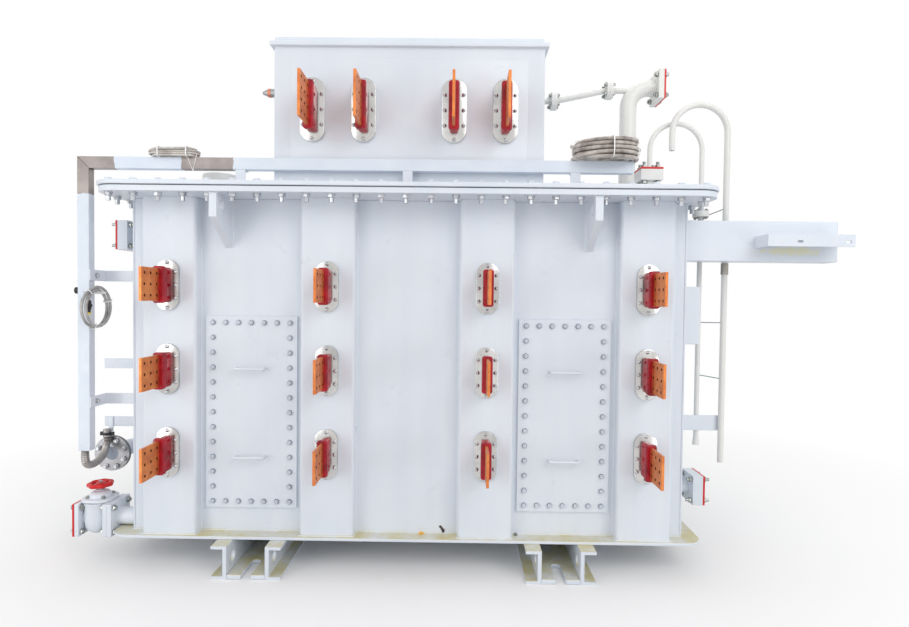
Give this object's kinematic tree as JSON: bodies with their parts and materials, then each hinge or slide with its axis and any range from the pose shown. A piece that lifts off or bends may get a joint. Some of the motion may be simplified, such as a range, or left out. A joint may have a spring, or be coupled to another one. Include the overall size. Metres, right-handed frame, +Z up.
{
  "type": "rectifier transformer",
  "caption": "Rectifier transformer: a welded tank on channel feet with copper bar terminals, a terminal turret, oil pipes, a drain valve and a cable duct.",
  "frame": {"origin": "bottom centre of the whole part, less its cables, on the floor", "axes": "+X along the tank's length to the right as seen from the terminals, +Y from the terminals to the back, +Z up"},
  "size_m": [3.781, 1.881, 2.546],
  "materials": {
    "tank_paint": "pale blue-grey gloss paint",
    "stainless": "plain stainless",
    "red_resin": "moulded red resin",
    "copper": "bare copper",
    "plug_steel": "plain steel with a copper ring",
    "gasket": "dark rubber",
    "blank_red": "red paint",
    "wheel_red": "red gloss paint",
    "duct_steel": "stainless with patches of pale film",
    "black_plastic": "black moulding",
    "cable_grey": "grey-brown cable sheath",
    "hose_steel": "ribbed steel conduit"
  },
  "bodies": {
    "transformer": {"base_plate": "tank_paint", "front_wall": "tank_paint", "back_wall": "tank_paint", "left_wall": "tank_paint", "right_wall": "tank_paint", "front_boxes": "tank_paint", "back_boxes": "tank_paint", "tank_flange": "tank_paint", "cover_gasket": "gasket", "cover_plate": "tank_paint", "hatch_covers": "tank_paint", "lifting_lugs": "tank_paint", "foot_channels": "tank_paint", "foot_plates": "tank_paint", "lv_flanges": "stainless", "lv_insulators": "red_resin", "lv_bars": "copper", "turret_box": "tank_paint", "turret_lid": "tank_paint", "turret_plug": "plug_steel", "turret_flanges": "stainless", "turret_insulators": "red_resin", "turret_bars": "copper", "elbow_pipe": "tank_paint", "vent_pipe": "tank_paint", "cover_port": "tank_paint", "left_port": "tank_paint", "right_port": "tank_paint", "round_port": "stainless", "drain_pipe": "tank_paint", "drain_valve": "tank_paint", "port_blanks": "blank_red", "support_beam": "tank_paint", "beam_rail": "tank_paint", "tall_breather": "tank_paint", "small_breather": "tank_paint", "pipe_bracket": "tank_paint", "control_box": "tank_paint", "cable_tray": "duct_steel", "upright_duct": "duct_steel", "tray_brackets": "tank_paint", "duct_bars": "tank_paint", "hose_gland": "black_plastic", "coil_peg": "stainless", "cover_fittings": "tank_paint", "large_coil": "cable_grey", "flat_coil": "cable_grey", "hanging_coil": "cable_grey", "coil_connector": "black_plastic", "conduit_hose": "hose_steel"},
    "handwheel": {"valve_handwheel": "wheel_red"}
  },
  "joints": [
    {"name": "handwheel_turn", "type": "hinge", "parent": "transformer", "child": "handwheel", "pos_m": [-1.7425, -0.5895, 0.373], "axis": [0, 0, 1], "range_deg": [0, 3600]}
  ]
}
